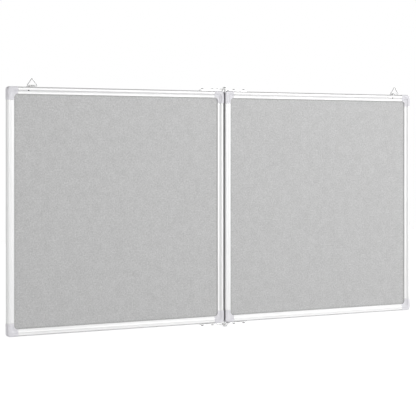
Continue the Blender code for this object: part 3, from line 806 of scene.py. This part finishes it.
class WHITEBOARD_OT_hanger_straps(bpy.types.Operator):
    """Finish the straps that hold the hanging rings"""

    bl_idname = "whiteboard.hanger_straps"
    bl_label = "Hanger straps"

    def execute(self, context):
        sizes = context.scene.whiteboard_sizes
        material = plated_steel("plated strap", context.scene.whiteboard_colours.wire)
        for side in SIDES:
            node = side + "_hanger_strap"
            piece = copy_node(node, node + "_plate")
            round_edges(piece, sizes.strap_edge)
            smooth(piece)
            hand_over(piece, node, material)
        return {"FINISHED"}


class WHITEBOARD_OT_hanger_rings(bpy.types.Operator):
    """Model the triangular hanging rings from round wire"""

    bl_idname = "whiteboard.hanger_rings"
    bl_label = "Hanging rings"

    def execute(self, context):
        sizes = context.scene.whiteboard_sizes
        material = plated_steel("plated wire", context.scene.whiteboard_colours.wire)
        for side in SIDES:
            node = side + "_hanger_ring"
            ring = self.model_ring(node, sizes.ring_corner, sizes.ring_peak)
            hand_over(ring, node, material)
        return {"FINISHED"}

    def round_profile(self, half_angle):
        """The bevel profile whose middle lies on a round arc at such a corner."""
        share = math.sin(half_angle)
        return ((1 + 2 * share) / (2 + 2 * share)) ** 2

    def model_ring(self, node, corner, peak):
        """A triangle of wire whose corners are rounded at the wire's middle.

        The box gives the rounded triangle's reach. Its straight sides touch the
        arcs of the corners and of the peak, which gives their lean.
        """
        low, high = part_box(node)
        wire = (high.y - low.y) / 2
        half = (high.x - low.x) / 2 - wire
        height = high.z - low.z - 2 * wire
        rise = Vector((corner - half, height - peak - corner))
        lean = math.atan2(rise.y, rise.x) - math.acos((corner - peak) / rise.length)
        reach = (half - corner) * math.cos(lean) + corner * math.sin(lean) + corner
        base = reach / math.cos(lean)
        top = reach / math.sin(lean)
        bpy.ops.mesh.primitive_circle_add(vertices=3, radius=1, fill_type="NOTHING")
        ring = name_piece(node + "_wire")
        middle = ((low.x + high.x) / 2, (low.y + high.y) / 2, low.z + wire)
        for vert, place in zip(ring.data.vertices, ((0, top), (-base, 0), (base, 0))):
            vert.co = (middle[0] + place[0], middle[1], middle[2] + place[1])
        slope = math.atan2(top, base)
        start_editing(ring, "VERT")
        pick(ring, "verts", lambda vert: vert.co.z > middle[2] + wire)
        bpy.ops.mesh.bevel(offset=peak * math.tan(slope), offset_type="ABSOLUTE",
                           segments=12, profile=self.round_profile(QUARTER_TURN - slope),
                           affect="VERTICES")
        pick(ring, "verts", lambda vert: vert.co.z < middle[2] + wire)
        bpy.ops.mesh.bevel(offset=corner / math.tan(slope / 2), offset_type="ABSOLUTE",
                           segments=12, profile=self.round_profile(slope / 2),
                           affect="VERTICES")
        stop_editing()
        bpy.ops.object.convert(target="CURVE")
        ring.data.bevel_depth = wire
        ring.data.bevel_resolution = 6
        bpy.ops.object.convert(target="MESH")
        ring.data.name = ring.name
        tidy_mesh(ring)
        smooth(ring)
        return ring


class WHITEBOARD_OT_lock_screws(bpy.types.Operator):
    """Model the socket screws that lock the straps in the rails"""

    bl_idname = "whiteboard.lock_screws"
    bl_label = "Lock screws"

    def execute(self, context):
        material = dark_steel(context.scene.whiteboard_colours.dark_steel)
        for side in SIDES:
            node = side + "_hanger_lock_screw"
            low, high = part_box(node)
            radius = (high.x - low.x) / 2
            length = high.y - low.y
            place = ((low.x + high.x) / 2, low.y, (low.z + high.z) / 2)
            body = length * LOCK_BODY
            bpy.ops.mesh.primitive_cylinder_add(vertices=32, radius=radius, depth=body,
                                                location=(0, 0, -body / 2))
            screw = name_piece(node + "_socket")
            settle(screw)
            start_editing(screw, "FACE")
            pick(screw, "faces", faces_down)
            bpy.ops.mesh.inset(thickness=radius * LOCK_SHOULDER)
            extrude_up(body - length)
            stop_editing()
            bpy.ops.mesh.primitive_cylinder_add(vertices=6, radius=radius * LOCK_SOCKET,
                                                depth=body)
            cut(screw, name_piece("hex_cutter"))
            round_edges(screw, radius * LOCK_EDGE)
            screw.location = place
            screw.rotation_euler.x = QUARTER_TURN
            settle(screw)
            smooth(screw)
            hand_over(screw, node, material)
        return {"FINISHED"}


class WHITEBOARD_OT_stage(bpy.types.Operator):
    """Add the floor, the soft light and the photograph's camera"""

    bl_idname = "whiteboard.stage"
    bl_label = "Floor, light and camera"

    def execute(self, context):
        scene = context.scene
        scene.view_settings.view_transform = "Standard"
        self.add_floor(scene.whiteboard_sizes.floor_drop)
        self.add_world(scene)
        for lamp in LAMPS:
            self.add_lamp(*lamp)
        self.add_camera(scene)
        return {"FINISHED"}

    def seen_directly(self, tree):
        """One for rays from the camera, from a mirror or through glass, else zero."""
        rays = tree.nodes.new("ShaderNodeLightPath")
        seen = rays.outputs["Is Camera Ray"]
        for name in ("Is Glossy Ray", "Is Transmission Ray"):
            either = tree.nodes.new("ShaderNodeMath")
            either.operation = "MAXIMUM"
            tree.links.new(seen, either.inputs[0])
            tree.links.new(rays.outputs[name], either.inputs[1])
            seen = either.outputs["Value"]
        return seen

    def add_floor(self, drop):
        """A pale floor that turns white away from the board, as a studio sweep does."""
        middle = (CAD_LOW + CAD_HIGH) / 2
        place = (middle.x, middle.y, CAD_LOW.z - drop)
        bpy.ops.mesh.primitive_plane_add(size=FLOOR_SIZE, location=place)
        floor = name_piece("floor")
        finish = Finish("pale floor", FLOOR_COLOUR, FLOOR_ROUGHNESS)
        distance = finish.tree.nodes.new("ShaderNodeVectorMath")
        distance.operation = "LENGTH"
        finish.link(finish.place, distance.inputs[0])
        sweep = finish.ramp(distance.outputs["Value"], *FLOOR_GLOWS, *FLOOR_SWEEP)
        glow = finish.times(sweep, self.seen_directly(finish.tree))
        finish.shader.inputs["Emission Color"].default_value = (1, 1, 1, 1)
        finish.link(glow, finish.shader.inputs["Emission Strength"])
        floor.data.materials.append(finish.material)

    def add_world(self, scene):
        """White round the horizon, a softer grey overhead, and dimmer as a light."""
        world = bpy.data.worlds.new("studio")
        world.use_nodes = True
        tree = world.node_tree
        background = tree.nodes["Background"]
        level = tree.nodes.new("ShaderNodeMapRange")
        level.inputs["To Min"].default_value = WORLD_LIGHT
        level.inputs["To Max"].default_value = 1.0
        tree.links.new(self.seen_directly(tree), level.inputs["Value"])
        tree.links.new(level.outputs["Result"], background.inputs["Strength"])
        direction = tree.nodes.new("ShaderNodeTexCoord").outputs["Generated"]
        height = tree.nodes.new("ShaderNodeSeparateXYZ")
        tree.links.new(direction, height.inputs["Vector"])
        ceiling = tree.nodes.new("ShaderNodeMapRange")
        ceiling.inputs["From Min"].default_value = CEILING_SINES[0]
        ceiling.inputs["From Max"].default_value = CEILING_SINES[1]
        ceiling.inputs["To Min"].default_value = 1.0
        ceiling.inputs["To Max"].default_value = CEILING_GREY
        tree.links.new(height.outputs["Z"], ceiling.inputs["Value"])
        tree.links.new(ceiling.outputs["Result"], background.inputs["Color"])
        scene.world = world

    def add_lamp(self, name, place, size, power):
        """A soft square lamp that looks at the middle of the board."""
        bpy.ops.object.light_add(type="AREA", location=place)
        lamp = bpy.context.object
        lamp.name = name + "_lamp"
        lamp.data.size = size
        lamp.data.energy = power
        towards = (CAD_LOW + CAD_HIGH) / 2 - Vector(place)
        lamp.rotation_euler = towards.to_track_quat("-Z", "Y").to_euler()

    def add_camera(self, scene):
        bpy.ops.object.camera_add(location=CAMERA_PLACE,
                                  rotation=(QUARTER_TURN, 0, CAMERA_HEADING))
        camera = bpy.context.object
        camera.name = "photograph_camera"
        camera.data.sensor_width = CAMERA_SENSOR
        camera.data.lens = CAMERA_LENS
        camera.data.shift_y = CAMERA_SHIFT
        camera.data.clip_end = CAMERA_REACH
        scene.camera = camera


class WHITEBOARD_PT_panel(bpy.types.Panel):
    """The board's sizes, colours and pieces"""

    bl_idname = "WHITEBOARD_PT_panel"
    bl_label = "Foldable whiteboard"
    bl_space_type = "VIEW_3D"
    bl_region_type = "UI"
    bl_category = "Whiteboard"

    def draw(self, context):
        for group in (context.scene.whiteboard_sizes, context.scene.whiteboard_colours):
            column = self.layout.column(align=True)
            for name in group.__annotations__:
                column.prop(group, name)
        for operator in OPERATORS:
            self.layout.operator(operator.bl_idname)


OPERATORS = (
    WHITEBOARD_OT_rails,
    WHITEBOARD_OT_corner_caps,
    WHITEBOARD_OT_board_layers,
    WHITEBOARD_OT_hinge_leaves,
    WHITEBOARD_OT_hinge_screws,
    WHITEBOARD_OT_hinge_pins,
    WHITEBOARD_OT_hanger_straps,
    WHITEBOARD_OT_hanger_rings,
    WHITEBOARD_OT_lock_screws,
    WHITEBOARD_OT_stage,
)
CLASSES = (WhiteboardSizes, WhiteboardColours, *OPERATORS, WHITEBOARD_PT_panel)


def register():
    for cls in CLASSES:
        bpy.utils.register_class(cls)
    bpy.types.Scene.whiteboard_sizes = bpy.props.PointerProperty(type=WhiteboardSizes)
    bpy.types.Scene.whiteboard_colours = bpy.props.PointerProperty(type=WhiteboardColours)


def unregister():
    del bpy.types.Scene.whiteboard_colours
    del bpy.types.Scene.whiteboard_sizes
    for cls in reversed(CLASSES):
        bpy.utils.unregister_class(cls)


def main():
    register()
    bpy.ops.whiteboard.rails()
    bpy.ops.whiteboard.corner_caps()
    bpy.ops.whiteboard.board_layers()
    bpy.ops.whiteboard.hinge_leaves()
    bpy.ops.whiteboard.hinge_screws()
    bpy.ops.whiteboard.hinge_pins()
    bpy.ops.whiteboard.hanger_straps()
    bpy.ops.whiteboard.hanger_rings()
    bpy.ops.whiteboard.lock_screws()
    bpy.ops.whiteboard.stage()


if __name__ == "__main__":
    main()
